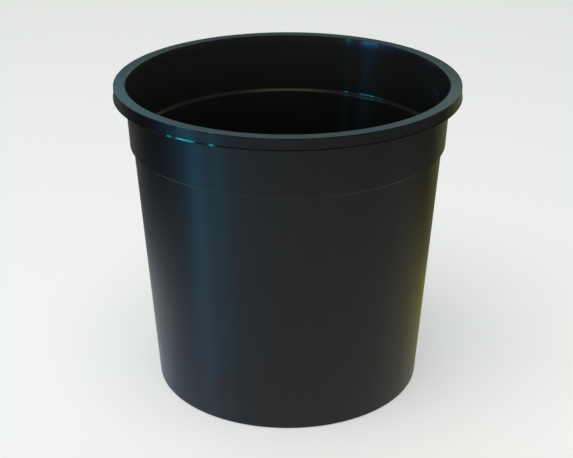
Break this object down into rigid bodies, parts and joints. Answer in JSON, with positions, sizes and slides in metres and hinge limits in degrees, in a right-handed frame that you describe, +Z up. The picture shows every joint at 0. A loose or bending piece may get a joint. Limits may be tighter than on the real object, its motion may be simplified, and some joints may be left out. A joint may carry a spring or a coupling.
{
  "type": "florist bucket",
  "caption": "Round tapered plastic florist bucket, open at the top, with a stepped band below a flat turned-down rim, for standing cut flowers in water.",
  "frame": {"origin": "centre of the foot ring, on the plane the bucket stands on", "axes": "+Z up along the bucket's axis, out of its mouth; the bucket is round, so X and Y are any two level directions"},
  "size_m": [0.285, 0.285, 0.263],
  "materials": {
    "bucket": "satin"
  },
  "bodies": {
    "root": {"bucket": "bucket"}
  },
  "joints": []
}
